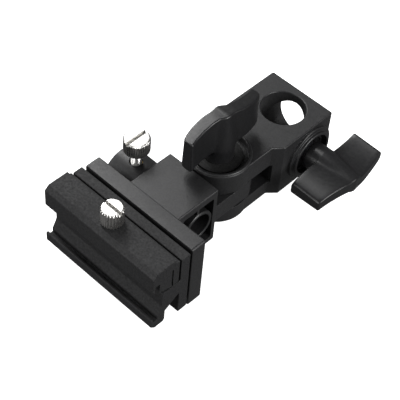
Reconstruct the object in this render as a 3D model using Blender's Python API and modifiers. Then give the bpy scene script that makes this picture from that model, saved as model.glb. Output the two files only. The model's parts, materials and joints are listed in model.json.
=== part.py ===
"""Umbrella swivel bracket: a stand socket block, a tilting holder with an
umbrella tube, and a sliding-jaw flash shoe.

Lengths are in millimetres and MM turns them into metres.  They are given from
the tilt axis (x = y = 0, along Z) and the top face of the socket block (z = 0).
The block reaches towards +Y, the holder and its shoe towards -Y.  world() moves
them into the part's frame, whose origin is the centre of the bounding box on
the plane it rests on."""
import math
import bpy
import bmesh
from mathutils import Matrix, Vector

MM = 0.001
NAME = "umbrella_swivel_bracket"
AXIS_X, AXIS_Y, TOP_Z = -5.5, 3.3, 28.7   # tilt axis and block top in the part's frame

OVER = 2.0                            # how far a cutter runs past a face
FIT = 0.3                             # clearance round bolts and inserts
SIDES = ((-1, "left"), (1, "right"))  # left is -X
SHARP_ANGLE = 35                      # degrees

# stand socket block
BLOCK_X0, BLOCK_X1 = -13.9, 14.6      # socket end, side to side
ARM_X0, ARM_X1 = -11.6, 11.6          # fork arm is narrower
JOG_Y0, JOG_Y1 = 14.6, 17.9           # slanted jog between arm and socket end
BLOCK_Y1 = 43.7                       # end face
BLOCK_Z0 = -23.7                      # underside
EAR_R = 12.0                          # rounded ends of the fork
GAP_Z0, GAP_Z1 = -17.3, -8.7          # slot between the ears
WEB_Y = 15.4                          # bottom of that slot
EAR_COLLAR_R, EAR_POCKET_R = 11.6, 10.5
EAR_COLLAR_Z0, EAR_COLLAR_Z1 = -1.0, 0.5
EAR_FLOOR = -2.0
BOLT_POCKET_Z1 = -20.2                # hex pocket for the tilt bolt's head

# 16.5 mm sockets in the block
BORE_X, BORE_Y = 1.1, 32.3            # socket along Z, right through
END_X, BORE_Z = 0.3, -11.85           # socket along Y, in the end face
BLIND_Y = 23.0                        # bottom of the end socket
BORE_R = 8.25
MOUTH_CHAMFER = 0.5
SOCKET_SPIN = 2.2                     # degrees the facets are turned

# stand clamp, along X through the block's +X wall
COLLAR_R, COLLAR_X = 10.8, 15.6       # low ring round the knob's seat
LIP_R, LIP_IN, LIP_X = 9.2, 8.1, 16.7
COLLAR_FLOOR = 14.2
NUT_AF = 13.0                         # across flats
NUT_X0, NUT_X1 = 10.5, 14.0
PAD_R, PAD_X0, PAD_X1 = 3.0, 8.9, 11.3
PAD_SOCKET_R, PAD_SOCKET_X0 = 1.7, 10.1
PAD_HOLE_R = 4.4
STUD_X0, STUD_X1 = 11.6, 25.3
DOG_R, DOG_X0, DOG_X1 = 1.4, 10.4, 12.5

# wing knobs
WING_R = 17.2                         # half length of the wing
WING_TIP_H, WING_MID_H = 12.6, 15.5   # height at tip and at middle
WING_TOP_T, WING_LOW_T = 2.4, 2.8     # half thickness at outer and inner edge
WING_TAPER = 0.35                     # half thickness lost towards the tip
WING_BULGE, WING_BULGE_V = 1.0, 15.2  # middle line's swing, and length of half a wave
WING_HOOK = 0.9                       # extra share of that swing at the tip
WING_EDGE = 0.5                       # chamfer along the edges
WING_STEPS = 16
TIP_ROUND, TIP_THIN = 1.0, 0.8        # length of the rounded tip, half thickness lost on it
TIP_STEPS = (0.0, 0.1, 0.4, 1.0)      # sections on the tip, as shares of TIP_ROUND
HUB_H = 15.4
HUB_TOP_R = 3.0
NECK_R, NECK_H = 5.3, 5.4             # neck below the wing's inner edge
HUB_SIDE = [(4.2, 7.5), (5.0, 3.0)]   # radius and height on the hub's flank
STAND_WING_X = 21.7                   # inner edge of the stand knob's wing
TILT_WING_Z = 4.5                     # lower edge of the tilt knob's wing

# tilt clamp, along Z
M6_R, M8_R = 3.0, 4.0
M6_HOLE_R, M8_HOLE_R = M6_R + FIT, M8_R + FIT
BOLT_AF = 10.0                        # across flats
BOLT_Z0, BOLT_Z1 = -24.0, 9.0
HEAD_Z1, SHANK_Z0 = -20.5, -21.0
BOLT_ROOM_Z0, BOLT_ROOM_Z1 = 6.0, 13.6
INSERT_R, INSERT_Z0, INSERT_Z1 = 3.9, -0.7, 7.3
WASHER_BORE_R = 3.4
TILT_WASHER_R, TILT_WASHER_Z0, TILT_WASHER_Z1 = 8.6, -1.7, -1.2
FRICTION_R = 9.0
FRICTION_WASHERS = (("top", -9.4, -8.95), ("bottom", -17.05, -16.6))   # name, z from, z to

# holder
FLANGE_X0, FLANGE_X1 = -25.7, 24.6
FLANGE_Y0, FLANGE_Y1 = -38.2, -32.1
FLANGE_Z0, FLANGE_Z1 = -28.7, 1.05
BODY_X0, BODY_X1 = -10.4, 12.4
BODY_Y1 = -13.2
BODY_Z0, BODY_Z1 = -24.9, 0.8
TONGUE_X0, TONGUE_X1, TONGUE_R = BODY_X0, 11.7, 12.4
TONGUE_Z0, TONGUE_Z1 = -17.0, -9.0
SEAT_R, SEAT_TOP_Z, SEAT_LOW_Z = 9.3, -9.65, -16.35   # friction washer seats
TUBE_Y, TUBE_Z = -21.4, -12.05        # umbrella shaft hole, along X
TUBE_R = 5.1
BOSS_R, BOSS_X0 = 8.5, -26.0
RECESS_X0 = -1.6                      # recess in the +X side
RECESS_Y0, RECESS_Y1 = -29.8, -15.1
RECESS_Z0, RECESS_Z1 = -22.5, -2.2
RING_R, RING_X0 = 6.4, -2.6           # tube wall inside the recess
RIB_Y0, RIB_Y1 = TUBE_Y - 1.1, TUBE_Y - 0.1
RIB_IN = 5.6                          # rib's near end from the tube's axis
RIB_SINK = 0.5                        # rib's far end into the recess wall

# umbrella clamp, along Z
UMB_X = -18.4
UMB_HOLE_R, UMB_HOLE_Z0 = 2.45, -9.5
UMB_POCKET_R, UMB_POCKET_Z1 = 3.1, -4.8
UMB_INSERT_R, UMB_INSERT_BORE = 2.85, 2.35
UMB_INSERT_Z0, UMB_INSERT_Z1 = -6.8, -5.0
UMB_PAD_R, UMB_PAD_Z0, UMB_PAD_Z1 = 1.9, -8.8, -7.4

# thumbscrew slots
SLOT_DEPTH, SLOT_HALF, SLOT_REACH = 1.3, 0.65, 8.0

# flash shoe
SHOE_X0, SHOE_X1 = -26.2, 24.8
BASE_Y1 = -39.3
FLOOR_Y = -51.4                       # bottom of the foot's channel
FOOT = 18.6                           # width of a flash foot between the grooves
GROOVE_Z0 = -21.7
GROOVE_Z1 = GROOVE_Z0 + FOOT
GASKET_X = 22.5                       # half width
GASKET_Y0, GASKET_Y1 = -39.05, -38.45
GASKET_Z0, GASKET_Z1 = -26.9, -1.3
SHOE_MID_Z = -12                      # height of the gasket's and base's origins
SCREW_X, SCREW_Z = 19.0, -24.5        # screws that hold the shoe
SCREW_HOLE_R, SCREW_SINK_R, SCREW_SINK_Y = 1.7, 3.2, -34.4
SCREW_R, SCREW_Y0 = 1.4, -42.5
SCREW_HEAD_R, SCREW_HEAD_Y0, SCREW_HEAD_Y1 = 2.8, -34.1, -32.5
CROSS_LONG, CROSS_THIN = 1.5, 0.3     # half sizes of the cross slot
PEG_X, PEG_Z = SCREW_X, -3.6          # locating pegs into the flange
PEG_R, PEG_HOLE_R = 1.5, 1.8
GASKET_HOLE_R = 1.8
JAW_X, JAW_Y = -0.5, -49.7            # jaw thumbscrew axis, along Z
JAW_Z1 = 3.1
M25_R = 1.25
JAW_HOLE_R = 1.5
SPRING_POCKET_R, SPRING_POCKET_Z1 = 2.0, -3.0

# spring round the jaw screw
SPRING_TURNS, SPRING_STEPS = 6.5, 12  # turns, points in a turn
SPRING_R, WIRE_R = 1.62, 0.17
SPRING_Z0, SPRING_Z1 = -9.45, -3.35

# centre lines: axis, then the other two coordinates in x, y, z order
TILT = ('Z', 0, 0)
STAND = ('X', BORE_Y, BORE_Z)
TUBE = ('X', TUBE_Y, TUBE_Z)
UMBRELLA = ('Z', UMB_X, TUBE_Y)
JAW = ('Z', JAW_X, JAW_Y)

# shoe outlines, (y, z)
BASE_OUTLINE = [
    (BASE_Y1, 0.7), (-43.3, 0.7), (-43.3, -9.8), (FLOOR_Y, -9.8), (FLOOR_Y, -16.3),
    (-53.3, -20.0), (-53.3, GROOVE_Z0), (-55.1, GROOVE_Z0), (-55.1, -20.0),
    (-56.1, -20.0), (-56.1, -23.8), (-54.3, -25.5), (-50.3, -25.5),
    (-49.7, -24.5), (-49.7, -20.3), (-43.4, -16.3), (-43.4, -27.0), (BASE_Y1, -27.0)]
JAW_OUTLINE = [
    (-45.7, JAW_Z1), (-54.1, JAW_Z1), (-55.9, 1.5), (-55.9, -5.6), (-54.9, -5.6),
    (-54.9, GROOVE_Z1), (-52.9, GROOVE_Z1), (-52.9, -7.5),
    (-47.3, -9.4), (-47.3, -1.0), (-46.8, -1.0), (-46.8, -9.4), (-44.9, -9.4),
    (-44.3, -8.9), (-44.1, -8.2), (-44.1, 1.3), (-45.7, 1.3)]

# ---------------------------------------------------------------- scene
for old in list(bpy.data.objects):
    bpy.data.objects.remove(old, do_unlink=True)

parts = bpy.data.collections.new(NAME)
tools = bpy.data.collections.new(NAME + "_cutters")
bpy.context.scene.collection.children.link(parts)
bpy.context.scene.collection.children.link(tools)


def material(name, color, roughness, metallic=0.0):
    mat = bpy.data.materials.new(name)
    mat.use_nodes = True
    inputs = mat.node_tree.nodes["Principled BSDF"].inputs
    inputs["Base Color"].default_value = (*color, 1.0)
    inputs["Roughness"].default_value = roughness
    inputs["Metallic"].default_value = metallic
    return mat


PLASTIC = material("black_moulded_plastic", color=(0.030, 0.030, 0.032), roughness=0.55)
KNOB_PLASTIC = material("black_knob_plastic", color=(0.022, 0.022, 0.024), roughness=0.38)
NICKEL = material("nickel_plate", color=(0.78, 0.77, 0.75), roughness=0.22, metallic=1.0)
STEEL = material("zinc_steel", color=(0.55, 0.56, 0.58), roughness=0.35, metallic=1.0)
BLACK_STEEL = material("blackened_steel", color=(0.035, 0.035, 0.037), roughness=0.45,
                       metallic=1.0)
BRASS = material("brass", color=(0.71, 0.52, 0.23), roughness=0.30, metallic=1.0)
FIBRE = material("grey_fibre", color=(0.20, 0.20, 0.21), roughness=0.75)
NYLON = material("natural_nylon", color=(0.72, 0.71, 0.66), roughness=0.5)
RUBBER = material("black_rubber", color=(0.012, 0.012, 0.012), roughness=0.8)


# ---------------------------------------------------------------- solids
def world(x, y, z):
    return Vector(((x + AXIS_X) * MM, (y + AXIS_Y) * MM, (z + TOP_Z) * MM))


def from_bmesh(bm, name):
    mesh = bpy.data.meshes.new(name)
    bm.to_mesh(mesh)
    bm.free()
    return bpy.data.objects.new(name, mesh)


def box(name, xs, ys, zs):
    """Box between two values on each axis."""
    size = [(hi - lo) * MM for lo, hi in (xs, ys, zs)]
    middle = [(lo + hi) / 2 for lo, hi in (xs, ys, zs)]
    bm = bmesh.new()
    bmesh.ops.create_cube(bm, size=1.0)
    bmesh.ops.scale(bm, vec=size, verts=bm.verts)
    bmesh.ops.translate(bm, vec=world(*middle), verts=bm.verts)
    return from_bmesh(bm, name)


# turns local Z to the named axis
TURN = {'X': Matrix.Rotation(math.radians(90), 4, 'Y'),
        'Y': Matrix.Rotation(math.radians(-90), 4, 'X'),
        'Z': Matrix.Identity(4)}


def rod(name, line, radius, start, end, segments):
    """Cylinder on a centre line, from start to end along it."""
    axis, *middle = line
    middle.insert('XYZ'.index(axis), (start + end) / 2)
    bm = bmesh.new()
    bmesh.ops.create_cone(bm, cap_ends=True, segments=segments, radius1=radius * MM,
                          radius2=radius * MM, depth=(end - start) * MM)
    bmesh.ops.transform(bm, matrix=TURN[axis], verts=bm.verts)
    bmesh.ops.translate(bm, vec=world(*middle), verts=bm.verts)
    return from_bmesh(bm, name)


def hex_radius(across_flats):
    return across_flats / math.sqrt(3)


def curve_solid(name, curve, points, place):
    """Mesh object from a curve through (x, y, z) points, moved by place."""
    spline = curve.splines.new('POLY')
    spline.points.add(len(points) - 1)
    for point, xyz in zip(spline.points, points):
        point.co = (*(v * MM for v in xyz), 1.0)
    spline.use_cyclic_u = curve.dimensions == '2D'
    source = bpy.data.objects.new(name + "_curve", curve)
    bpy.context.scene.collection.objects.link(source)
    bpy.context.view_layer.update()
    depsgraph = bpy.context.evaluated_depsgraph_get()
    mesh = bpy.data.meshes.new_from_object(source.evaluated_get(depsgraph), depsgraph=depsgraph)
    mesh.name = name
    bm = bmesh.new()
    bm.from_mesh(mesh)
    bmesh.ops.remove_doubles(bm, verts=bm.verts, dist=1e-6)
    bmesh.ops.recalc_face_normals(bm, faces=bm.faces)
    bm.to_mesh(mesh)
    bm.free()
    mesh.transform(place)
    bpy.data.objects.remove(source, do_unlink=True)
    return bpy.data.objects.new(name, mesh)


def plate(name, outline, plane, start, end):
    """Thickened outline: plane 'XY' runs along Z, plane 'YZ' along X."""
    curve = bpy.data.curves.new(name, 'CURVE')
    curve.dimensions = '2D'
    curve.fill_mode = 'BOTH'
    curve.extrude = (end - start) / 2 * MM
    middle = (start + end) / 2
    if plane == 'XY':
        place = Matrix.Translation(world(0, 0, middle))
    else:
        turn = Matrix(((0, 0, 1, 0), (1, 0, 0, 0), (0, 1, 0, 0), (0, 0, 0, 1)))
        place = Matrix.Translation(world(middle, 0, 0)) @ turn
    return curve_solid(name, curve, [(a, b, 0.0) for a, b in outline], place)


def turned(name, place, profile, steps):
    """Solid of revolution about local Z; profile holds (radius, height) from
    the top down the outer side to the bottom."""
    bm = bmesh.new()
    verts = [bm.verts.new((radius * MM, 0.0, height * MM)) for radius, height in profile]
    for pair in zip(verts, verts[1:]):
        bm.edges.new(pair)
    solid = from_bmesh(bm, name)
    solid.matrix_world = place
    screw = solid.modifiers.new("turn", 'SCREW')
    screw.axis = 'Z'
    screw.angle = math.radians(360)
    screw.steps = steps
    screw.render_steps = steps
    screw.use_merge_vertices = True
    screw.merge_threshold = 0.00001
    return solid


def arc(radius, start, end, count):
    """Points round the tilt axis between two angles in degrees."""
    angles = [math.radians(start + (end - start) * i / count) for i in range(count + 1)]
    return [(radius * math.cos(angle), radius * math.sin(angle)) for angle in angles]


def combine(piece, operation, tool):
    tools.objects.link(tool)
    tool.hide_render = True
    tool.display_type = 'WIRE'
    boolean = piece.modifiers.new(operation.lower() + "_" + tool.name, 'BOOLEAN')
    boolean.operation = operation
    boolean.object = tool
    boolean.solver = 'EXACT'


def cut(piece, tool):
    combine(piece, 'DIFFERENCE', tool)


def join(piece, tool):
    combine(piece, 'UNION', tool)


def finish(piece, mat, anchor):
    """Add a piece to the part, with its material and its origin at anchor."""
    parts.objects.link(piece)
    piece.data.materials.append(mat)
    origin = world(*anchor)
    piece.data.transform(Matrix.Translation(-origin))
    piece.location = origin


# ---------------------------------------------------------------- socket block
def cut_sockets(block):
    """Each socket is cut with its chamfered mouths in one go."""
    spin = Matrix.Rotation(math.radians(SOCKET_SPIN), 4, 'Z')
    mouth_r = BORE_R + MOUTH_CHAMFER + OVER
    cut(block, turned("cut_socket_z", Matrix.Translation(world(BORE_X, BORE_Y, 0)) @ spin,
                      [(0.0, OVER), (mouth_r, OVER), (BORE_R, -MOUTH_CHAMFER),
                       (BORE_R, BLOCK_Z0 + MOUTH_CHAMFER), (mouth_r, BLOCK_Z0 - OVER),
                       (0.0, BLOCK_Z0 - OVER)], 52))
    end_place = Matrix.Translation(world(END_X, 0, BORE_Z)) @ TURN['Y'] @ spin
    cut(block, turned("cut_socket_y", end_place,
                      [(0.0, BLOCK_Y1 + OVER), (mouth_r, BLOCK_Y1 + OVER),
                       (BORE_R, BLOCK_Y1 - MOUTH_CHAMFER), (BORE_R, BLIND_Y),
                       (0.0, BLIND_Y)], 48))


def build_block():
    # the ears' round end stands a little proud of the arm's side
    lift = math.degrees(math.acos(ARM_X1 / EAR_R))
    outline = ([(BLOCK_X1, BLOCK_Y1), (BLOCK_X0, BLOCK_Y1), (BLOCK_X0, JOG_Y1), (ARM_X0, JOG_Y0)]
               + arc(EAR_R, 180 - lift, 360 + lift, 34)
               + [(ARM_X1, JOG_Y0), (BLOCK_X1, JOG_Y1)])
    block = plate("stand_block", outline, 'XY', BLOCK_Z0, 0.0)
    cut(block, box("cut_fork_gap", (-20, 20), (-20, WEB_Y), (GAP_Z0, GAP_Z1)))
    join(block, rod("add_stand_collar", STAND, COLLAR_R, BLOCK_X1 - 1.0, COLLAR_X, 48))
    join(block, rod("add_stand_lip", STAND, LIP_R, BLOCK_X1 - 1.0, LIP_X, 48))
    join(block, rod("add_ear_collar", TILT, EAR_COLLAR_R, EAR_COLLAR_Z0, EAR_COLLAR_Z1, 52))
    cut(block, rod("cut_stand_collar", STAND, LIP_IN, COLLAR_FLOOR, LIP_X + OVER, 44))
    cut(block, rod("cut_ear_pocket", TILT, EAR_POCKET_R, EAR_FLOOR, 3, 48))
    cut_sockets(block)
    cut(block, rod("cut_nut_pocket", STAND, hex_radius(NUT_AF + 0.5), NUT_X0 - FIT,
                   COLLAR_FLOOR + 1, 6))
    cut(block, rod("cut_pad_hole", STAND, PAD_HOLE_R, 7.5, 11.5, 32))
    cut(block, rod("cut_bolt_hole", TILT, M6_HOLE_R, BLOCK_Z0 - OVER, OVER, 32))
    cut(block, rod("cut_bolt_hex", TILT, hex_radius(BOLT_AF + 0.6), BLOCK_Z0 - OVER,
                   BOLT_POCKET_Z1, 6))
    finish(block, PLASTIC, (0, 0, 0))


def build_stand_nut():
    """Hex nut let into the block's wall."""
    nut = rod("stand_nut", STAND, hex_radius(NUT_AF - 0.1), NUT_X0, NUT_X1, 6)
    cut(nut, rod("cut_stand_nut_bore", STAND, M8_HOLE_R, 9, 16, 32))
    finish(nut, BLACK_STEEL, (NUT_X0, BORE_Y, BORE_Z))


def build_stand_pad():
    """Pressure pad, loose on the dog at the end of the stud."""
    pad = rod("stand_pad", STAND, PAD_R, PAD_X0, PAD_X1, 28)
    cut(pad, rod("cut_pad_socket", STAND, PAD_SOCKET_R, PAD_SOCKET_X0, 13, 20))
    finish(pad, BRASS, (PAD_X1, BORE_Y, BORE_Z))


# ---------------------------------------------------------------- wing knobs
def wing_section(v):
    """Section of the wing at distance v along its length: (u, w) points.  Its
    middle line bulges one way on one side of the hub and the other way on the
    other, and hooks back at each tip."""
    share = min(abs(v) / WING_R, 1.0)
    mid = WING_BULGE * math.sin(math.pi * v / WING_BULGE_V) * (1.0 + WING_HOOK * share ** 6)
    on_tip = max(0.0, (abs(v) - (WING_R - TIP_ROUND)) / TIP_ROUND)
    thin = TIP_THIN * (1.0 - math.sqrt(max(0.0, 1.0 - on_tip ** 2)))
    taper = WING_TAPER * share ** 3
    top = WING_TOP_T - taper - thin
    low = WING_LOW_T - taper - thin
    height = WING_MID_H - (WING_MID_H - WING_TIP_H) * share
    edge = WING_EDGE
    return [(mid - low + edge, 0.0), (mid - low, edge),
            (mid - top, height - edge), (mid - top + edge, height),
            (mid + top - edge, height), (mid + top, height - edge),
            (mid + low, edge), (mid + low - edge, 0.0)]


def wing(name, place):
    """Loft through the wing's unlike sections."""
    straight = WING_R - TIP_ROUND
    tips = [WING_R - TIP_ROUND * share for share in TIP_STEPS]
    stations = ([-v for v in tips]
                + [-straight + 2 * straight * i / WING_STEPS for i in range(1, WING_STEPS)]
                + tips[::-1])
    bm = bmesh.new()
    rings = [[bm.verts.new(place @ Vector((u * MM, v * MM, w * MM))) for u, w in wing_section(v)]
             for v in stations]
    for ring, following in zip(rings, rings[1:]):
        for i in range(len(ring)):
            j = (i + 1) % len(ring)
            bm.faces.new((ring[i], ring[j], following[j], following[i]))
    bm.faces.new(rings[0])
    bm.faces.new(rings[-1][::-1])
    bmesh.ops.recalc_face_normals(bm, faces=bm.faces)
    return from_bmesh(bm, name)


def wing_knob(prefix, place):
    """Wing joined to a turned hub: a neck and a cone narrowing outwards."""
    knob = wing(prefix + "_knob", place)
    profile = [(0.0, HUB_H), (HUB_TOP_R - 0.4, HUB_H), (HUB_TOP_R, HUB_H - 0.5), *HUB_SIDE,
               (NECK_R, 0.0), (NECK_R, -NECK_H), (0.0, -NECK_H)]
    join(knob, turned("add_" + prefix + "_hub", place, profile, 40))
    return knob


def build_tilt_knob():
    knob = wing_knob("tilt", Matrix.Translation(world(0, 0, TILT_WING_Z)))
    cut(knob, rod("cut_tilt_insert", TILT, INSERT_R + FIT, -4, INSERT_Z1 + FIT, 32))
    cut(knob, rod("cut_tilt_bolt_room", TILT, M6_HOLE_R, BOLT_ROOM_Z0, BOLT_ROOM_Z1, 28))
    finish(knob, KNOB_PLASTIC, (0, 0, TILT_WING_Z))

    insert = rod("tilt_knob_insert", TILT, INSERT_R, INSERT_Z0, INSERT_Z1, 32)
    cut(insert, rod("cut_tilt_insert_bore", TILT, M6_HOLE_R, -3, 9, 28))
    finish(insert, BRASS, (0, 0, INSERT_Z0))


def build_stand_knob():
    # local Z points along +X
    turn = Matrix(((0, 0, 1, 0), (0, 1, 0, 0), (-1, 0, 0, 0), (0, 0, 0, 1)))
    knob = wing_knob("stand", Matrix.Translation(world(STAND_WING_X, BORE_Y, BORE_Z)) @ turn)
    cut(knob, rod("cut_stud_seat", STAND, M8_HOLE_R, 14, STUD_X1 + FIT, 32))
    finish(knob, KNOB_PLASTIC, (STAND_WING_X, BORE_Y, BORE_Z))

    stud = rod("stand_knob_stud", STAND, M8_R, STUD_X0, STUD_X1, 32)
    join(stud, rod("add_stud_dog", STAND, DOG_R, DOG_X0, DOG_X1, 20))
    finish(stud, STEEL, (STUD_X0, BORE_Y, BORE_Z))


# ---------------------------------------------------------------- tilt hardware
def build_tilt_bolt():
    bolt = rod("tilt_bolt", TILT, M6_R, SHANK_Z0, BOLT_Z1, 28)
    join(bolt, rod("add_bolt_head", TILT, hex_radius(BOLT_AF), BOLT_Z0, HEAD_Z1, 6))
    finish(bolt, STEEL, (0, 0, BOLT_Z0))


def build_washer(name, radius, z0, z1, segments, cut_z0, cut_z1):
    washer = rod(name, TILT, radius, z0, z1, segments)
    cut(washer, rod("cut_" + name, TILT, WASHER_BORE_R, cut_z0, cut_z1, 28))
    finish(washer, FIBRE, (0, 0, z0))


def build_washers():
    build_washer("tilt_washer", TILT_WASHER_R, TILT_WASHER_Z0, TILT_WASHER_Z1, 40, -5, 1)
    for end, z0, z1 in FRICTION_WASHERS:
        build_washer("friction_washer_" + end, FRICTION_R, z0, z1, 36, z0 - OVER, z1 + OVER)


# ---------------------------------------------------------------- holder
def tongue():
    right = math.degrees(math.asin(TONGUE_X1 / TONGUE_R))
    left = math.degrees(math.asin(-TONGUE_X0 / TONGUE_R))
    outline = ([(TONGUE_X0, BODY_Y1 - 1.0), (TONGUE_X1, BODY_Y1 - 1.0)]
               + arc(TONGUE_R, 90 - right, 90 + left, 22))
    return plate("add_tongue", outline, 'XY', TONGUE_Z0, TONGUE_Z1)


def build_holder():
    holder = box("holder_body", (FLANGE_X0, FLANGE_X1), (FLANGE_Y0, FLANGE_Y1),
                 (FLANGE_Z0, FLANGE_Z1))
    join(holder, box("add_body", (BODY_X0, BODY_X1), (FLANGE_Y1 - 2, BODY_Y1),
                     (BODY_Z0, BODY_Z1)))
    join(holder, tongue())
    join(holder, rod("add_tube_boss", TUBE, BOSS_R, BOSS_X0, BODY_X0 + 1.5, 56))
    cut(holder, box("cut_recess", (RECESS_X0, BODY_X1 + OVER), (RECESS_Y0, RECESS_Y1),
                    (RECESS_Z0, RECESS_Z1)))
    join(holder, rod("add_tube_ring", TUBE, RING_R, RING_X0, BODY_X1 - 0.3, 44))
    for end, zs in (("top", (TUBE_Z + RIB_IN, RECESS_Z1 + RIB_SINK)),
                    ("bottom", (RECESS_Z0 - RIB_SINK, TUBE_Z - RIB_IN))):
        join(holder, box("add_rib_" + end, (RING_X0, BODY_X1 - 0.6), (RIB_Y0, RIB_Y1), zs))
    cut(holder, rod("cut_tube", TUBE, TUBE_R, BOSS_X0 - OVER, BODY_X1 + OVER, 48))
    cut(holder, rod("cut_umbrella_hole", UMBRELLA, UMB_HOLE_R, UMB_HOLE_Z0, 0, 32))
    cut(holder, rod("cut_umbrella_insert", UMBRELLA, UMB_POCKET_R, UMB_HOLE_Z0,
                    UMB_POCKET_Z1, 32))
    cut(holder, rod("cut_pivot_hole", TILT, M6_HOLE_R, -20, -5, 32))
    cut(holder, rod("cut_washer_seat_top", TILT, SEAT_R, SEAT_TOP_Z, -7.0, 36))
    cut(holder, rod("cut_washer_seat_low", TILT, SEAT_R, -19.0, SEAT_LOW_Z, 36))
    for side, end in SIDES:
        line = ('Y', side * SCREW_X, SCREW_Z)
        cut(holder, rod("cut_screw_hole_" + end, line, SCREW_HOLE_R, -41, -30, 24))
        cut(holder, rod("cut_screw_head_" + end, line, SCREW_SINK_R, SCREW_SINK_Y, -30, 28))
    for side in (-1, 1):
        cut(holder, rod("cut_peg_hole_%d" % side, ('Y', side * PEG_X, PEG_Z), PEG_HOLE_R,
                        -41, -36.6, 24))
    finish(holder, PLASTIC, (0, 0, 0))


def build_thumbscrew(prefix, line, head_r, head_z0, head_z1, stem_r, stem_z0, stem_z1, slot):
    """Round slotted head on a stem; slot holds its half sizes along x and y."""
    x, y = line[1:]
    screw = rod(prefix + "_screw", line, head_r, head_z0, head_z1, 40)
    join(screw, rod("add_" + prefix + "_stem", line, stem_r, stem_z0, stem_z1, 24))
    cut(screw, box("cut_" + prefix + "_slot", (x - slot[0], x + slot[0]),
                   (y - slot[1], y + slot[1]), (head_z1 - SLOT_DEPTH, head_z1 + 1.8)))
    finish(screw, NICKEL, (x, y, head_z0))


def build_umbrella_clamp():
    insert = rod("umbrella_insert", UMBRELLA, UMB_INSERT_R, UMB_INSERT_Z0, UMB_INSERT_Z1, 28)
    cut(insert, rod("cut_umbrella_insert_bore", UMBRELLA, UMB_INSERT_BORE, -9, -2, 24))
    finish(insert, BRASS, (UMB_X, TUBE_Y, UMB_INSERT_Z0))

    build_thumbscrew("umbrella", UMBRELLA, head_r=4.75, head_z0=2.0, head_z1=8.2,
                     stem_r=2.05, stem_z0=-7.1, stem_z1=3.0, slot=(SLOT_HALF, SLOT_REACH))

    pad = rod("umbrella_pad", UMBRELLA, UMB_PAD_R, UMB_PAD_Z0, UMB_PAD_Z1, 24)
    finish(pad, NYLON, (UMB_X, TUBE_Y, UMB_PAD_Z1))


# ---------------------------------------------------------------- flash shoe
def build_gasket():
    gasket = box("shoe_gasket", (-GASKET_X, GASKET_X), (GASKET_Y0, GASKET_Y1),
                 (GASKET_Z0, GASKET_Z1))
    for side, end in SIDES:
        for kind, x, z in (("hole", SCREW_X, SCREW_Z), ("peg", PEG_X, PEG_Z)):
            cut(gasket, rod("cut_gasket_%s_%s" % (kind, end), ('Y', side * x, z),
                            GASKET_HOLE_R, -41, -37, 20))
    finish(gasket, RUBBER, (0, GASKET_Y1, SHOE_MID_Z))


def build_shoe_base():
    base = plate("shoe_base", BASE_OUTLINE, 'YZ', SHOE_X0, SHOE_X1)
    for side in (-1, 1):
        join(base, rod("add_peg_%d" % side, ('Y', side * PEG_X, PEG_Z), PEG_R,
                       BASE_Y1 - 1.0, -37.0, 20))
    cut(base, rod("cut_jaw_thread", JAW, M25_R + 0.15, -16.2, -8, 24))
    for side, end in SIDES:
        cut(base, rod("cut_base_pilot_" + end, ('Y', side * SCREW_X, SCREW_Z), SCREW_HOLE_R,
                      -42.9, -38, 20))
    finish(base, PLASTIC, (0, BASE_Y1, SHOE_MID_Z))


def build_jaw():
    jaw = plate("shoe_jaw", JAW_OUTLINE, 'YZ', SHOE_X0, SHOE_X1)
    cut(jaw, rod("cut_jaw_hole", JAW, JAW_HOLE_R, -12, 6, 24))
    cut(jaw, rod("cut_spring_pocket", JAW, SPRING_POCKET_R, -12, SPRING_POCKET_Z1, 28))
    finish(jaw, PLASTIC, (JAW_X, JAW_Y, JAW_Z1))

    build_thumbscrew("jaw", JAW, head_r=4.025, head_z0=3.4, head_z1=10.2,
                     stem_r=M25_R, stem_z0=-15.0, stem_z1=4.5, slot=(SLOT_REACH, SLOT_HALF))


def build_spring():
    curve = bpy.data.curves.new("jaw_spring", 'CURVE')
    curve.dimensions = '3D'
    curve.bevel_depth = WIRE_R * MM
    curve.bevel_resolution = 1
    curve.use_fill_caps = True
    count = int(SPRING_TURNS * SPRING_STEPS)
    points = []
    for i in range(count + 1):
        angle = 2 * math.pi * i / SPRING_STEPS
        points.append((SPRING_R * math.cos(angle), SPRING_R * math.sin(angle),
                       SPRING_Z0 + (SPRING_Z1 - SPRING_Z0) * i / count))
    spring = curve_solid("jaw_spring", curve, points,
                         Matrix.Translation(world(JAW_X, JAW_Y, 0)))
    finish(spring, STEEL, (JAW_X, JAW_Y, SPRING_Z0))


def build_shoe_screws():
    """Cross-slotted screws that hold the shoe on the flange."""
    for side, end in SIDES:
        x = side * SCREW_X
        line = ('Y', x, SCREW_Z)
        screw = rod("shoe_screw_" + end, line, SCREW_HEAD_R, SCREW_HEAD_Y0, SCREW_HEAD_Y1, 28)
        join(screw, rod("add_shoe_screw_" + end, line, SCREW_R, SCREW_Y0, -33.2, 20))
        for slot, dx, dz in (("a", CROSS_LONG, CROSS_THIN), ("b", CROSS_THIN, CROSS_LONG)):
            cut(screw, box("cut_screw_slot_%s_%s" % (slot, end), (x - dx, x + dx),
                           (-33.3, -32.0), (SCREW_Z - dz, SCREW_Z + dz)))
        finish(screw, STEEL, (x, SCREW_HEAD_Y1, SCREW_Z))


# ---------------------------------------------------------------- frames
def group(name, at, members):
    """Empty on a joint's axis; its pieces hang from it where they are."""
    empty = bpy.data.objects.new(name, None)
    empty.empty_display_size = 0.01
    empty.location = world(*at)
    parts.objects.link(empty)
    bpy.context.view_layer.update()
    for member in members:
        piece = bpy.data.objects[member]
        piece.parent = empty
        piece.matrix_parent_inverse = empty.matrix_world.inverted()


build_block()
build_stand_nut()
build_stand_pad()
build_tilt_knob()
build_stand_knob()
build_tilt_bolt()
build_washers()
build_holder()
build_umbrella_clamp()
build_gasket()
build_shoe_base()
build_jaw()
build_spring()
build_shoe_screws()

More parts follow.
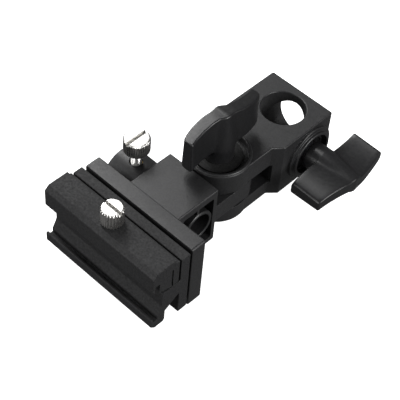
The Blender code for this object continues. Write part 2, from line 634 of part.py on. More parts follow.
group("tilt_axis", (0, 0, 0),
      ["holder_body", "umbrella_insert", "friction_washer_top", "friction_washer_bottom",
       "shoe_gasket", "shoe_base", "jaw_spring", "shoe_screw_left", "shoe_screw_right"])
group("tilt_clamp_axis", (0, 0, -1.0), ["tilt_knob", "tilt_knob_insert", "tilt_washer"])
group("stand_clamp_axis", (LIP_X, BORE_Y, BORE_Z), ["stand_knob", "stand_knob_stud", "stand_pad"])
group("umbrella_clamp_axis", (UMB_X, TUBE_Y, 0), ["umbrella_screw", "umbrella_pad"])
group("jaw_clamp_axis", (JAW_X, JAW_Y, 0), ["shoe_jaw", "jaw_screw"])

for piece in parts.objects:
    if piece.type == 'MESH':
        piece.data.shade_smooth()
        piece.data.set_sharp_from_angle(angle=math.radians(SHARP_ANGLE))
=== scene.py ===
"""Umbrella swivel bracket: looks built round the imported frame.

Lengths are millimetres from the tilt axis (x = y = 0, running along Z) and from the
stand block's top face (z = 0).  The stand block reaches to +Y.  The umbrella holder
reaches to -Y and carries the flash shoe.  One wing knob stands on top of the tilt
axis, the other points to +X from the stand block.  place() gives frame metres."""
import json
import math
import bpy
import bmesh
from mathutils import Matrix, Vector


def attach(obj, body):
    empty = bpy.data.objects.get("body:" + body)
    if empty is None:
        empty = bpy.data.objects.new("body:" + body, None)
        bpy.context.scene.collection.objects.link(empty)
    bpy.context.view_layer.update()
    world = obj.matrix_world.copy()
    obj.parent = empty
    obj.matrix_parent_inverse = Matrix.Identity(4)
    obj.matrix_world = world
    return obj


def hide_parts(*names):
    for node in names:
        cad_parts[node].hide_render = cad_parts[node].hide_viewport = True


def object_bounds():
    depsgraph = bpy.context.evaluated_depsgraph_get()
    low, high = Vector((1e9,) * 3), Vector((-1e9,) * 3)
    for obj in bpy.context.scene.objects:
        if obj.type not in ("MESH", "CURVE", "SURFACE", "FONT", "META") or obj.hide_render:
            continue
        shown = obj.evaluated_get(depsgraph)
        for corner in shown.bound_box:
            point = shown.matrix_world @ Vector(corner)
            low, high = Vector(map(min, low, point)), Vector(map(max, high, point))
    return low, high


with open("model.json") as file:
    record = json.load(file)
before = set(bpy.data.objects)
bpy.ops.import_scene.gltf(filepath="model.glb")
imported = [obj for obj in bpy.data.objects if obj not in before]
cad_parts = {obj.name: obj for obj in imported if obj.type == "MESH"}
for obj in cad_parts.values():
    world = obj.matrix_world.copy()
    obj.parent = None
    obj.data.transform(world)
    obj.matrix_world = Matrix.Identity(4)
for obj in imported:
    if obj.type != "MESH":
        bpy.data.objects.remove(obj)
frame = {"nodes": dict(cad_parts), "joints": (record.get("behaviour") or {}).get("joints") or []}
cad_lo, cad_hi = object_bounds()

MM = 0.001
TOP_ABOVE_JOINT = 12.0
joints = {joint["name"]: joint for joint in frame["joints"]}
tilt = joints["holder_tilt"]["pos_m"]
ORIGIN = Vector((tilt[0], tilt[1], tilt[2] + TOP_ABOVE_JOINT * MM))

# axes that pieces share: (x, y) for Z, (x, z) for Y, (y, z) for X
TILT_AXIS = (0, 0)
SOCKET_Y, SOCKET_Z = 32.3, -11.85
STAND_AXIS = (SOCKET_Y, SOCKET_Z)            # along X: stand knob and its boss
UMBRELLA_Y, UMBRELLA_Z = -21.4, -12.05
UMBRELLA_AXIS = (UMBRELLA_Y, UMBRELLA_Z)     # along X: umbrella tube
UMBRELLA_SCREW_AXIS = (-18.4, UMBRELLA_Y)    # along Z
JAW_SCREW_AXIS = (-0.5, -49.7)               # along Z
SHOE_X = (-26.2, 24.8)                       # run of the shoe base and jaw
FIXING_X = (-19.0, 19.0)                     # shoe screws and pegs, left and right
SCREW_Z, PEG_Z = -24.5, -3.6
BOLT_HOLE_R = 3.3


def place(x, y, z):
    return ORIGIN + Vector((x, y, z)) * MM


# ---------------------------------------------------------------- mesh helpers
TOOL = "tool"    # name of a shape that a boolean uses up
ALONG = {'X': lambda a, b, h: (h, a, b),
         'Y': lambda a, b, h: (a, h, b),
         'Z': lambda a, b, h: (a, b, h)}


def object_from(bm, name):
    bmesh.ops.recalc_face_normals(bm, faces=bm.faces)
    mesh = bpy.data.meshes.new(name)
    bm.to_mesh(mesh)
    bm.free()
    ob = bpy.data.objects.new(name, mesh)
    bpy.context.scene.collection.objects.link(ob)
    return ob


def rounded(points, radius, steps=4, sharp=()):
    """Closed outline with its corners rounded, less on short sides."""
    outline = []
    for i, point in enumerate(points):
        corner = Vector(point)
        before = Vector(points[i - 1]) - corner
        after = Vector(points[(i + 1) % len(points)]) - corner
        cosine = before.dot(after) / (before.length * after.length)
        angle = math.acos(max(-1.0, min(1.0, cosine)))
        if i in sharp or math.pi - angle < 0.2:
            outline.append((corner.x, corner.y))
            continue
        setback = min(radius / math.tan(angle / 2), 0.42 * before.length, 0.42 * after.length)
        fillet = setback * math.tan(angle / 2)
        before.normalize()
        after.normalize()
        centre = corner + (before + after).normalized() * (fillet / math.sin(angle / 2))
        start = corner + before * setback
        end = corner + after * setback
        a0 = math.atan2(start.y - centre.y, start.x - centre.x)
        a1 = math.atan2(end.y - centre.y, end.x - centre.x)
        turn = (a1 - a0 + math.pi) % (2 * math.pi) - math.pi
        for k in range(steps + 1):
            q = a0 + turn * k / steps
            outline.append((centre.x + fillet * math.cos(q), centre.y + fillet * math.sin(q)))
    return outline


def arc(radius, start, end, steps):
    """Points round the tilt axis, angles in degrees."""
    angles = [math.radians(start + (end - start) * i / steps) for i in range(steps + 1)]
    return [(radius * math.cos(q), radius * math.sin(q)) for q in angles]


def prism(outline, run, low, high, edge, steps=2, name=TOOL):
    """Outline run along an axis from low to high, with its end edges rounded."""
    along = ALONG[run]
    bm = bmesh.new()
    bottom = [bm.verts.new(place(*along(a, b, low))) for a, b in outline]
    top = [bm.verts.new(place(*along(a, b, high))) for a, b in outline]
    caps = [bm.faces.new(bottom), bm.faces.new(list(reversed(top)))]
    for i in range(len(outline)):
        j = (i + 1) % len(outline)
        bm.faces.new((bottom[j], bottom[i], top[i], top[j]))
    bmesh.ops.recalc_face_normals(bm, faces=bm.faces)
    if edge:
        rim = {e for cap in caps for e in cap.edges}
        bmesh.ops.bevel(bm, geom=list(rim), offset=edge * MM, segments=steps, profile=0.5,
                        affect='EDGES', clamp_overlap=True)
    return object_from(bm, name)


def block(x, y, z, run='Z', radius=0, edge=0, name=TOOL):
    """Box from (low, high) spans; radius rounds the edges along its run."""
    (a0, a1), (b0, b1), (low, high) = {'X': (y, z, x), 'Y': (x, z, y), 'Z': (x, y, z)}[run]
    outline = [(a0, b0), (a1, b0), (a1, b1), (a0, b1)]
    if radius:
        outline = rounded(outline, radius)
    return prism(outline, run, low, high, edge, name=name)


def skin(rings, name):
    """Closed solid through rings of points."""
    bm = bmesh.new()
    rings = [[bm.verts.new(point) for point in ring] for ring in rings]
    for r0, r1 in zip(rings, rings[1:]):
        for i in range(len(r0)):
            j = (i + 1) % len(r0)
            bm.faces.new((r0[i], r0[j], r1[j], r1[i]))
    bm.faces.new(rings[0])
    bm.faces.new(rings[-1])
    return object_from(bm, name)


def lathe(axis, centre, profile, steps=96, relief=None, name=TOOL):
    """Turned solid from (radius, height) pairs.  relief(radius, height, angle)
    gives the radius a pattern round the axis."""
    a, b = centre
    rings = []
    for radius, h in profile:
        ring = []
        for i in range(steps):
            q = 2 * math.pi * i / steps
            r = relief(radius, h, q) if relief else radius
            ring.append(place(*ALONG[axis](a + r * math.cos(q), b + r * math.sin(q), h)))
        rings.append(ring)
    return skin(rings, name)


def rod(axis, centre, radius, start, end, steps=48):
    return lathe(axis, centre, [(radius, start), (radius, end)], steps)


def mouth(radius, h, size, out):
    """Profile of a hole's end, from outside in; out is the way out, +1 or -1."""
    if not size:
        return [(radius, h)]
    flare = 1.5    # how far the cutter spreads beyond the rounded lip
    return [(radius + size + flare, h + out * flare * 0.6)] + [
        (radius + size * (1 - math.cos(q)), h - out * size + out * size * math.sin(q))
        for q in (1.15, 0.75, 0.35, 0.0)]


def bore(axis, centre, radius, low, high, low_lip=0.0, high_lip=0.0, steps=96):
    """Cutter for a hole, with rounded lips where asked."""
    profile = mouth(radius, high, high_lip, 1) + mouth(radius, low, low_lip, -1)[::-1]
    return lathe(axis, centre, profile, steps)


def boolean(ob, operation, tools):
    """Apply the tools one by one and use them up."""
    for tool in tools:
        modifier = ob.modifiers.new("boolean", 'BOOLEAN')
        modifier.operation = operation
        modifier.object = tool
        modifier.solver = 'EXACT'
        bpy.context.view_layer.update()
        graph = bpy.context.evaluated_depsgraph_get()
        mesh = bpy.data.meshes.new_from_object(ob.evaluated_get(graph), depsgraph=graph)
        old = ob.data
        ob.modifiers.clear()
        ob.data = mesh
        bpy.data.meshes.remove(old)
        bpy.data.objects.remove(tool, do_unlink=True)
    return ob


def cut(ob, *tools):
    return boolean(ob, 'DIFFERENCE', tools)


def join(ob, *tools):
    return boolean(ob, 'UNION', tools)


def shade(ob, angle):
    """Smooth shading with sharp edges above the angle in degrees."""
    mesh = ob.data
    bm = bmesh.new()
    bm.from_mesh(mesh)
    bmesh.ops.remove_doubles(bm, verts=bm.verts, dist=1e-7)
    bm.to_mesh(mesh)
    bm.free()
    mesh.shade_smooth()
    mesh.set_sharp_from_angle(angle=math.radians(angle))
    modifier = ob.modifiers.new("weighted", 'WEIGHTED_NORMAL')
    modifier.keep_sharp = True
    modifier.weight = 60


def set_material(ob, material):
    ob.data.materials.clear()
    ob.data.materials.append(material)


# ---------------------------------------------------------------- materials
class Shader:
    """A Principled material; its textures use object coordinates."""

    def __init__(self, name):
        self.material = bpy.data.materials.new(name)
        self.material.use_nodes = True
        self.tree = self.material.node_tree
        self.coords = self.node("ShaderNodeTexCoord").outputs["Object"]

    def feed(self, socket, value):
        """Link a socket, or set a plain value."""
        if isinstance(value, bpy.types.NodeSocket):
            self.tree.links.new(value, socket)
        else:
            socket.default_value = value

    def node(self, kind, **settings):
        node = self.tree.nodes.new(kind)
        for key, value in settings.items():
            if key in node.inputs:
                self.feed(node.inputs[key], value)
            else:
                setattr(node, key, value)
        return node

    def surface(self, settings):
        for key, value in settings.items():
            self.feed(self.tree.nodes["Principled BSDF"].inputs[key], value)

    def noise(self, scale, detail=2.0, rough=0.5, stretch=None):
        source = self.coords
        if stretch:
            source = self.node("ShaderNodeMapping", Vector=source, Scale=stretch).outputs["Vector"]
        return self.node("ShaderNodeTexNoise", Vector=source, Scale=scale, Detail=detail,
                         Roughness=rough).outputs["Fac"]

    def remap(self, value, to, source=(0.3, 0.7)):
        return self.node("ShaderNodeMapRange", **{
            "Value": value, "From Min": source[0], "From Max": source[1],
            "To Min": to[0], "To Max": to[1]}).outputs["Result"]

    def mix(self, factor, first, second):
        """Colour mix; sockets 0, 6 and 7 are the factor and the two colours."""
        node = self.node("ShaderNodeMix", data_type='RGBA')
        for index, value in ((0, factor), (6, first), (7, second)):
            self.feed(node.inputs[index], (*value, 1) if isinstance(value, tuple) else value)
        return node.outputs[2]

    def soft_normal(self, radius):
        """Normal rounded over the edges, radius in metres."""
        return self.node("ShaderNodeBevel", samples=4, Radius=radius).outputs["Normal"]

    def edge_mask(self, soft):
        """1 on an edge, 0 on a flat: how far the rounded normal leans."""
        geometry = self.node("ShaderNodeNewGeometry")
        dot = self.node("ShaderNodeVectorMath", operation='DOT_PRODUCT')
        self.feed(dot.inputs[0], soft)
        self.feed(dot.inputs[1], geometry.outputs["Normal"])
        return self.remap(dot.outputs["Value"], to=(1.0, 0.0), source=(0.80, 0.995))

    def bump(self, height, strength, distance, normal):
        return self.node("ShaderNodeBump", Height=height, Strength=strength, Distance=distance,
                         Normal=normal).outputs["Normal"]


def plastic(name, dark, light, roughness, grain, depth, edge_sheen=0.35, specular=0.5):
    """Moulded plastic: speckled tone, grain (noise scale) of a depth in metres,
    and a painted highlight: edges painted paler, in noise patches, up to the given amount."""
    shader = Shader(name)
    speckle = shader.remap(shader.noise(scale=1500.0, detail=3.0), to=(0.0, 1.0))
    soft = shader.soft_normal(radius=0.00018)
    # painted highlight: edges lightened in noise patches where the rounded normal leans
    edge_highlight = shader.node("ShaderNodeMath", operation='MULTIPLY')
    patches = shader.noise(scale=700.0, detail=3.0, rough=0.6)
    shader.feed(edge_highlight.inputs[0], shader.edge_mask(soft))
    shader.feed(edge_highlight.inputs[1], shader.remap(patches, to=(0.0, edge_sheen), source=(0.4, 0.65)))
    fine = shader.bump(shader.noise(grain, rough=0.55), strength=0.75, distance=depth, normal=soft)
    coarse = shader.bump(shader.noise(grain * 0.4), strength=0.3, distance=depth * 1.5,
                         normal=fine)
    # base colour: speckled tone, mixed towards pale grey at the edges as a painted highlight
    shader.surface({
        "Base Color": shader.mix(edge_highlight.outputs[0], shader.mix(speckle, dark, light),
                                 (0.16, 0.16, 0.16)),
        "Roughness": shader.remap(shader.noise(scale=1100.0, detail=4.0), to=roughness),
        "Normal": coarse,
        "Specular IOR Level": specular})
    return shader.material


def metal(name, dark, light, roughness):
    """Plated or turned metal with fine tool marks."""
    shader = Shader(name)
    tone = shader.remap(shader.noise(scale=260.0, detail=3.0), to=(0, 1))
    marks = shader.noise(scale=12.0, detail=3.0, rough=0.6, stretch=(60, 60, 900))
    shader.surface({
        "Base Color": shader.mix(tone, dark, light),
        "Metallic": 1.0,
        "Roughness": shader.remap(shader.noise(scale=500.0, detail=4.0, rough=0.6), to=roughness),
        "Normal": shader.bump(marks, strength=0.5, distance=0.000006,
                              normal=shader.soft_normal(radius=0.00010))})
    return shader.material


BODY = plastic("satin_black_plastic", dark=(0.012, 0.012, 0.0125), light=(0.021, 0.021, 0.022),
               roughness=(0.36, 0.52), grain=3400.0, depth=0.000022)
SHOE = plastic("grained_black_plastic", dark=(0.010, 0.010, 0.0105), light=(0.028, 0.028, 0.029),
               roughness=(0.55, 0.75), grain=2600.0, depth=0.000034, specular=0.28)
KNOB = plastic("knob_black_plastic", dark=(0.008, 0.008, 0.0085), light=(0.014, 0.014, 0.015),
               roughness=(0.30, 0.42), grain=3400.0, depth=0.000004, edge_sheen=0.2, specular=0.46)
FIBRE = plastic("black_fibre", dark=(0.008, 0.008, 0.008), light=(0.018, 0.018, 0.018),
                roughness=(0.76, 0.92), grain=1500.0, depth=0.00004, specular=0.25)
RUBBER = plastic("black_rubber_sheet", dark=(0.010, 0.010, 0.010), light=(0.018, 0.018, 0.018),
                 roughness=(0.75, 0.92), grain=1800.0, depth=0.00003, edge_sheen=0.1)
NYLON = plastic("natural_nylon", dark=(0.60, 0.59, 0.55), light=(0.70, 0.69, 0.64),
                roughness=(0.38, 0.55), grain=1500.0, depth=0.00002, edge_sheen=0.0)
NICKEL = metal("nickel_plate", dark=(0.58, 0.57, 0.55), light=(0.70, 0.69, 0.67),
               roughness=(0.24, 0.38))
STEEL = metal("zinc_plate", dark=(0.50, 0.51, 0.53), light=(0.62, 0.63, 0.66),
              roughness=(0.26, 0.42))
# painted shade: steel made near black for the stand nut, which sits in the shadowed collar
SHADE_DARKENED_STEEL = metal("blackened_steel", dark=(0.020, 0.020, 0.021), light=(0.040, 0.040, 0.042),
                roughness=(0.40, 0.60))
BRASS = metal("turned_brass", dark=(0.66, 0.46, 0.19), light=(0.76, 0.56, 0.27),
              roughness=(0.20, 0.36))


# ---------------------------------------------------------------- stand block
BLOCK_BOTTOM, BLOCK_END = -23.7, 43.7    # z of its underside, y of its far end
BLOCK_LEFT, BLOCK_RIGHT = -13.9, 14.6
EAR_R, EAR_HALF = 12.0, 11.6             # ears round the tilt axis
SHOULDER_Y, EAR_Y = 17.9, 14.6           # where the block narrows to the ears
SOCKET_R, SOCKET_LIP = 8.25, 0.45
BOSS_END = 16.7
RIM_TOP = 0.5
BOSS = [(10.8, 14.0), (10.8, 15.45), (10.65, 15.6), (9.35, 15.6),    # radius, x
        (9.2, 15.75), (9.2, 16.5), (9.0, BOSS_END)]


def stand_outline():
    steps = 4
    body = rounded([(BLOCK_RIGHT, BLOCK_END), (BLOCK_LEFT, BLOCK_END), (BLOCK_LEFT, SHOULDER_Y),
                    (-EAR_HALF, EAR_Y), (EAR_HALF, EAR_Y), (BLOCK_RIGHT, SHOULDER_Y)],
                   0.7, steps, sharp=(3, 4))
    lift = math.degrees(math.acos(EAR_HALF / EAR_R))
    ear = arc(EAR_R, 180 - lift, 360 + lift, 64)
    split = 3 * (steps + 1) + 1    # after three rounded corners and one sharp one
    return body[:split] + ear + body[split:]


def stand_block():
    ob = prism(stand_outline(), 'Z', BLOCK_BOTTOM, 0.0, edge=0.45, steps=3,
               name="stand_block_shell")
    # slot that parts the two ears, then the boss on +X and the rim on top
    cut(ob, block(x=(-20, 20), y=(-20, 15.4), z=(-17.3, -8.7), run='Y'))
    join(ob,
         lathe('X', STAND_AXIS, BOSS),
         lathe('Z', TILT_AXIS, [(11.6, -1.0), (11.6, 0.25), (11.35, RIM_TOP)], 112))
    return cut(
        ob,
        bore('X', STAND_AXIS, 8.1, 14.2, BOSS_END, high_lip=0.2),
        bore('Z', TILT_AXIS, 10.5, -2.0, RIM_TOP, high_lip=0.25, steps=112),
        # the upright socket and the one open at the far end
        bore('Z', (1.1, SOCKET_Y), SOCKET_R, BLOCK_BOTTOM, 0.0, SOCKET_LIP, SOCKET_LIP, 100),
        bore('Y', (0.3, SOCKET_Z), SOCKET_R, 23.0, BLOCK_END, high_lip=SOCKET_LIP, steps=94),
        # hexagon pocket and hole on the stand axis
        rod('X', STAND_AXIS, 7.79, 16.0, 10.2, 6),
        rod('X', STAND_AXIS, 4.4, 11.5, 7.5),
        # bolt hole and hexagon pocket on the tilt axis
        rod('Z', TILT_AXIS, BOLT_HOLE_R, 2.0, -26.0),
        rod('Z', TILT_AXIS, 6.12, -20.2, -26.0, 6))


# ---------------------------------------------------------------- holder
NECK_LEFT = -10.4
TONGUE_R, TONGUE_RIGHT, TONGUE_START = 12.4, 11.7, -14.6
TUBE_LEFT, TUBE_RIGHT = -26.0, 12.1
PLATE_FRONT = -32.1                      # +Y face of the shoe plate
SLEEVE = [(8.5, -8.5), (8.5, -25.4), (8.32, -25.83), (7.9, TUBE_LEFT)]    # radius, x


def tongue():
    """Round-ended tongue that fits between the stand block's ears."""
    right = math.degrees(math.asin(TONGUE_RIGHT / TONGUE_R))
    left = math.degrees(math.asin(-NECK_LEFT / TONGUE_R))
    outline = [(NECK_LEFT, TONGUE_START), (TONGUE_RIGHT, TONGUE_START)]
    return prism(outline + arc(TONGUE_R, 90 - right, 90 + left, 48), 'Z', -17.0, -9.0, edge=0.25)


def holder():
    ob = block(x=(-25.7, 24.6), y=(-38.2, PLATE_FRONT), z=(-28.7, 1.05), run='Y',
               radius=0.9, edge=0.45, name="holder_shell")
    join(ob,
         block(x=(NECK_LEFT, 12.4), y=(-34.5, -13.2), z=(-24.9, 0.8), run='Y',
               radius=0.6, edge=0.45),
         tongue(),
         lathe('X', UMBRELLA_AXIS, SLEEVE))
    # pocket open to +X, with the inner tube and a web above and below it
    cut(ob, block(x=(-1.6, 16.0), y=(-29.8, -15.1), z=(-22.5, -2.2), run='X', radius=0.9))
    join(ob, lathe('X', UMBRELLA_AXIS, [(6.4, -2.4), (6.4, 11.8), (6.1, TUBE_RIGHT)]))
    for z in ((-7.0, -1.6), (-23.2, -17.6)):
        join(ob, block(x=(-2.5, 11.8), y=(UMBRELLA_Y - 1.1, UMBRELLA_Y - 0.1), z=z, run='X'))
    cut(ob,
        bore('X', UMBRELLA_AXIS, 5.1, TUBE_LEFT, TUBE_RIGHT, 0.35, 0.3, 80),
        lathe('Z', UMBRELLA_SCREW_AXIS, [(2.45, 0.0), (2.45, -4.8), (3.1, -4.8), (3.1, -9.5)], 48),
        rod('Z', TILT_AXIS, BOLT_HOLE_R, -5.0, -20.0),
        # shallow washer seats on both faces of the tongue
        rod('Z', TILT_AXIS, 9.3, -7.0, -9.65, 72),
        rod('Z', TILT_AXIS, 9.3, -16.35, -19.0, 72))
    for x in FIXING_X:
        cut(ob,
            rod('Y', (x, SCREW_Z), 1.7, -30.0, -41.0, 32),
            bore('Y', (x, SCREW_Z), 3.2, -34.4, PLATE_FRONT, high_lip=0.25, steps=40),
            rod('Y', (x, PEG_Z), 1.8, -36.6, -41.0, 32))
    return ob


# ---------------------------------------------------------------- flash shoe
# sections as (y, z)
SHOE_BASE = [
    (-39.3, 0.7), (-43.3, 0.7), (-43.3, -9.8), (-51.4, -9.8), (-51.4, -16.3), (-53.3, -20.0),
    (-53.3, -21.7), (-55.1, -21.7), (-55.1, -20.0), (-56.1, -20.0), (-56.1, -23.8),
    (-54.3, -25.5), (-50.3, -25.5), (-49.7, -24.5), (-49.7, -20.3), (-43.4, -16.3),
    (-43.4, -27.0), (-39.3, -27.0)]
SHOE_JAW = [
    (-45.7, 3.1), (-54.1, 3.1), (-55.9, 1.5), (-55.9, -5.6), (-54.9, -5.6), (-54.9, -3.1),
    (-52.9, -3.1), (-52.9, -7.5), (-47.3, -9.4), (-47.3, -1.0), (-46.8, -1.0), (-46.8, -9.4),
    (-44.9, -9.4), (-44.3, -8.9), (-44.1, -8.2), (-44.1, 1.3), (-45.7, 1.3)]
PEG = [(1.5, -41.0), (1.5, -37.3), (1.2, -37.0)]    # radius, y


def shoe_base():
    ob = prism(rounded(SHOE_BASE, 0.35, 3), 'X', *SHOE_X, edge=0.22, name="shoe_base_shell")
    for x in FIXING_X:
        join(ob, lathe('Y', (x, PEG_Z), PEG, 32))
    cut(ob, rod('Z', JAW_SCREW_AXIS, 1.4, -8.0, -16.2, 40))
    for x in FIXING_X:
        cut(ob, rod('Y', (x, SCREW_Z), 1.7, -38.0, -42.9, 28))
    return ob


def shoe_jaw():
    ob = prism(rounded(SHOE_JAW, 0.3, 3), 'X', *SHOE_X, edge=0.2, name="shoe_jaw_shell")
    return cut(ob,
               bore('Z', JAW_SCREW_AXIS, 1.5, -12.0, 3.1, high_lip=0.3, steps=48),
               rod('Z', JAW_SCREW_AXIS, 2.0, -3.0, -12.0))


# ---------------------------------------------------------------- wing knobs
# in a knob's own frame the wing spans y, its thickness is x and it rises along z
WING_REACH, WING_STATIONS = 17.2, 84
WING_HEIGHT = 15.5
WING_HALF = 2.8             # half thickness at the foot
WING_EDGE = 0.6             # rounding of the top and bottom edges
HUB = ((0.0, 5.3), (3.0, 5.0), (7.5, 4.2), (14.9, 3.05), (16.0, 2.9))    # z, radius
NECK = ((5.2, 0.5), (5.3, 0.0), (5.3, -5.1), (5.0, -5.4))                # radius, z
NECK_STEPS = 72


def soft_max(a, b, blend=0.9):
    return 0.5 * (a + b + math.sqrt((a - b) ** 2 + blend * blend))


def hub_half(y, z):
    """Half thickness of the tapering hub."""
    for (z0, r0), (z1, r1) in zip(HUB, HUB[1:]):
        if z <= z1:
            radius = r0 + (r1 - r0) * (z - z0) / (z1 - z0)
            return math.sqrt(max(0.0, radius * radius - y * y))


def wing_section(y):
    """Closed (x, y, z) section of the wing at one place along its span."""
    edge = WING_EDGE
    out = min(abs(y) / WING_REACH, 1.0)
    bend = math.sin(math.pi * y / 15.2) * (1.0 + 0.9 * out ** 6)
    tip = max(0.0, abs(y) - (WING_REACH - 1.0))    # the last millimetre is rounded
    thin = 0.8 * (1.0 - math.sqrt(max(0.0, 1.0 - tip ** 2))) + 0.35 * out ** 3
    height = WING_HEIGHT - 2.9 * out - 0.35 * math.exp(-(y / 2.6) ** 2)
    rows = [0.0, edge * 0.13, edge * 0.5, edge]
    rows += [edge + (height - 2 * edge) * i / 9 for i in range(1, 9)]
    rows += [height - edge, height - 0.5 * edge, height - 0.13 * edge, height]
    low, high = [], []
    for z in rows:
        near = min(z, height - z, edge)
        turn = edge * (1.0 - math.sqrt(max(0.0, 1.0 - (1.0 - near / edge) ** 2)))
        half = WING_HALF - 0.4 * z / height - thin - turn
        hub = hub_half(y, z) - (turn if height - z < z else 0.0)
        high.append((soft_max(bend + half, hub) - 0.03, y, z))
        low.append((-soft_max(half - bend, hub) + 0.03, y, z))
    return low + high[::-1]


def neck_ring(radius, z):
    angles = [2 * math.pi * (i + 0.5) / NECK_STEPS for i in range(NECK_STEPS)]
    return [(radius * math.cos(q), radius * math.sin(q), z) for q in angles]


def wing_knob(name, seat):
    """Curved wing that swells softly into a tapering hub, on a round neck."""
    def seated(rings):
        return [[seat @ (Vector(point) * MM) for point in ring] for ring in rings]

    stations = [-WING_REACH * math.cos(math.pi * k / WING_STATIONS)
                for k in range(WING_STATIONS + 1)]
    wing = skin(seated(wing_section(y) for y in stations), name)
    return join(wing, skin(seated(neck_ring(r, z) for r, z in NECK), TOOL))


def tilt_knob():
    ob = wing_knob("tilt_wing_knob", Matrix.Translation(place(0, 0, 4.5)))
    return cut(ob,
               rod('Z', TILT_AXIS, 4.2, 7.6, -4.0),
               rod('Z', TILT_AXIS, BOLT_HOLE_R, 13.6, 6.0, 40))


def stand_knob():
    z_to_x = Matrix(((0, 0, 1, 0), (0, 1, 0, 0), (-1, 0, 0, 0), (0, 0, 0, 1)))
    seat = Matrix.Translation(place(21.7, *STAND_AXIS)) @ z_to_x
    return cut(wing_knob("stand_wing_knob", seat), rod('X', STAND_AXIS, 4.3, 25.6, 14.0))


# ---------------------------------------------------------------- thumbscrews
def thread(centre, radius, pitch, low, high):
    """Screw thread: the crest climbs one pitch a turn and fades at both ends."""
    rows = max(8, int((high - low) / pitch * 7))

    def relief(r, h, q):
        turn = ((h - low) / pitch - q / (2 * math.pi)) % 1.0
        fade = min(1.0, (h - low) / (pitch * 0.8), (high - h) / (pitch * 0.4) + 0.25)
        tip_step = 0.25 if h - low < 1e-6 else 0.0
        return r - pitch * 0.5 * abs(2 * turn - 1) * fade - tip_step

    profile = [(radius, low + (high - low) * i / rows) for i in range(rows + 1)]
    return lathe('Z', centre, profile, 36, relief)


def thumbscrew(name, centre, radius, bottom, top, teeth, depth, stem, pitch, tip, slot_along):
    """Knurled, slotted head from bottom to top, on a threaded stem down to tip."""
    def relief(r, h, q):
        if r < radius - 0.55:
            return r
        turn = (q * teeth / (2 * math.pi)) % 1.0
        return r - depth * abs(2 * turn - 1) ** 1.3

    profile = [(radius - 0.9, top), (radius - 0.56, top - 0.04), (radius - 0.25, top - 0.3),
               (radius, top - 0.65), (radius, bottom + 0.5), (radius - 0.3, bottom + 0.15),
               (radius - 0.56, bottom), (radius - 1.2, bottom)]
    head = lathe('Z', centre, profile, teeth * 6, relief, name)
    join(head,
         rod('Z', centre, stem + 0.45, bottom - 0.2, bottom + 0.8),
         thread(centre, stem, pitch, tip, bottom + 0.6))
    x, y = centre
    half_x, half_y = {'X': (9, 0.65), 'Y': (0.65, 9)}[slot_along]
    return cut(head, block(x=(x - half_x, x + half_x), y=(y - half_y, y + half_y),
                           z=(top - 1.3, top + 2)))


def jaw_screw():
    return thumbscrew("jaw_thumb", JAW_SCREW_AXIS, radius=4.025, bottom=3.4, top=10.2, teeth=24,
                      depth=0.36, stem=1.25, pitch=0.45, tip=-15.0, slot_along='X')


def umbrella_screw():
    return thumbscrew("umbrella_thumb", UMBRELLA_SCREW_AXIS, radius=4.75, bottom=2.0, top=8.2,
                      teeth=38, depth=0.26, stem=2.05, pitch=0.7, tip=-7.1, slot_along='Y')


# ---------------------------------------------------------------- pieces
# builder, material, body it rides, slot, node it replaces, sharp angle in degrees
PIECES = [
    (stand_block, BODY, "stand", "black_body", "stand_block", 35),
    (holder, BODY, "holder", "black_body", "holder_body", 35),
    (shoe_base, SHOE, "holder", "black_body", "shoe_base", 35),
    (shoe_jaw, SHOE, "jaw", "black_body", "shoe_jaw", 35),
    (tilt_knob, KNOB, "tilt_clamp_knob", "black_knob", "tilt_knob", 50),
    (stand_knob, KNOB, "stand_clamp_knob", "black_knob", "stand_knob", 50),
    (jaw_screw, NICKEL, "jaw_thumbscrew", "nickel", "jaw_screw", 28),
    (umbrella_screw, NICKEL, "umbrella_thumbscrew", "nickel", "umbrella_screw", 28)]
for build, material, body, slot, node, angle in PIECES:
    ob = build()
    shade(ob, angle)
    set_material(ob, material)
    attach(ob, body)
    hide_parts(node)

# the remaining pieces keep their own solids and take a finished material; the stand nut's
# near-black steel is painted shade for its shadowed collar
FINISHES_AND_SHADE = {
    "stand_nut": SHADE_DARKENED_STEEL, "tilt_bolt": STEEL, "stand_knob_stud": STEEL, "jaw_spring": STEEL,
    "shoe_screw_left": STEEL, "shoe_screw_right": STEEL, "stand_pad": BRASS,
    "tilt_knob_insert": BRASS, "umbrella_insert": BRASS,
    "tilt_washer": FIBRE, "friction_washer_top": FIBRE, "friction_washer_bottom": FIBRE,
    "umbrella_pad": NYLON, "shoe_gasket": RUBBER}
for node, material in FINISHES_AND_SHADE.items():
    set_material(frame["nodes"][node], material)


# ---------------------------------------------------------------- stage (metres)
def make_floor():
    bm = bmesh.new()
    bmesh.ops.create_grid(bm, x_segments=1, y_segments=1, size=3.0)
    floor = object_from(bm, "floor")
    floor.location.z = cad_lo[2] - 0.0002
    shader = Shader("pale_floor")
    shader.surface({"Base Color": (0.92, 0.92, 0.92, 1), "Roughness": 0.9,
                    "Specular IOR Level": 0.1,
                    "Emission Color": (1, 1, 1, 1), "Emission Strength": 0.93})
    floor.data.materials.append(shader.material)
    floor.visible_diffuse = False
    floor.visible_glossy = False


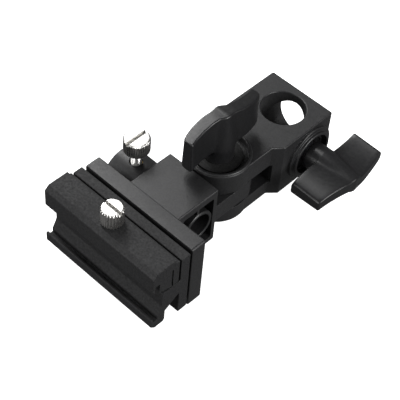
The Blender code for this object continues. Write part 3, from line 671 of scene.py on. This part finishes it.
def make_world():
    """A dim fill for the object, a pale backdrop for the camera."""
    world = bpy.data.worlds.new("studio")
    bpy.context.scene.world = world
    world.use_nodes = True
    nodes, links = world.node_tree.nodes, world.node_tree.links
    background = nodes["Background"]
    background.inputs["Color"].default_value = (1, 1, 1, 1)
    path = nodes.new("ShaderNodeLightPath")
    level = nodes.new("ShaderNodeMapRange")
    level.inputs["To Min"].default_value = 0.14
    level.inputs["To Max"].default_value = 1.0
    links.new(path.outputs["Is Camera Ray"], level.inputs["Value"])
    links.new(level.outputs["Result"], background.inputs["Strength"])


def softbox(name, at, size, watts):
    light = bpy.data.lights.new(name, 'AREA')
    light.shape = 'RECTANGLE'
    light.size, light.size_y = size
    light.energy = watts
    ob = bpy.data.objects.new(name, light)
    bpy.context.scene.collection.objects.link(ob)
    ob.location = at
    aim = Vector((0, 0, 0.02))
    ob.rotation_euler = (aim - Vector(at)).to_track_quat('-Z', 'Y').to_euler()


def make_camera():
    data = bpy.data.cameras.new("camera")
    data.sensor_width = 36.0
    data.lens = 110.09
    data.clip_start = 0.01
    camera = bpy.data.objects.new("camera", data)
    bpy.context.scene.collection.objects.link(camera)
    axes = Matrix(((0.718568, 0.692634, 0.062597),      # right
                   (-0.556354, 0.518502, 0.649328),     # up
                   (0.417290, -0.501412, 0.757928)))    # back
    position = place(179.414, -223.153, 306.346)
    camera.matrix_world = Matrix.Translation(position) @ axes.transposed().to_4x4()
    bpy.context.scene.camera = camera
    bpy.context.scene.view_settings.view_transform = 'Standard'


make_floor()
make_world()
softbox("top_back", at=(-0.62, 0.22, 0.60), size=(0.42, 0.36), watts=5.0)
softbox("streak", at=(-0.34, 0.13, 0.74), size=(0.12, 0.12), watts=0.9)
softbox("left", at=(-0.60, -0.35, 0.35), size=(0.40, 0.40), watts=1.8)
softbox("front_low", at=(-0.10, -0.70, 0.25), size=(0.40, 0.30), watts=2.3)
softbox("right", at=(0.62, 0.10, 0.30), size=(0.30, 0.30), watts=4.0)
make_camera()

bpy.context.view_layer.update()
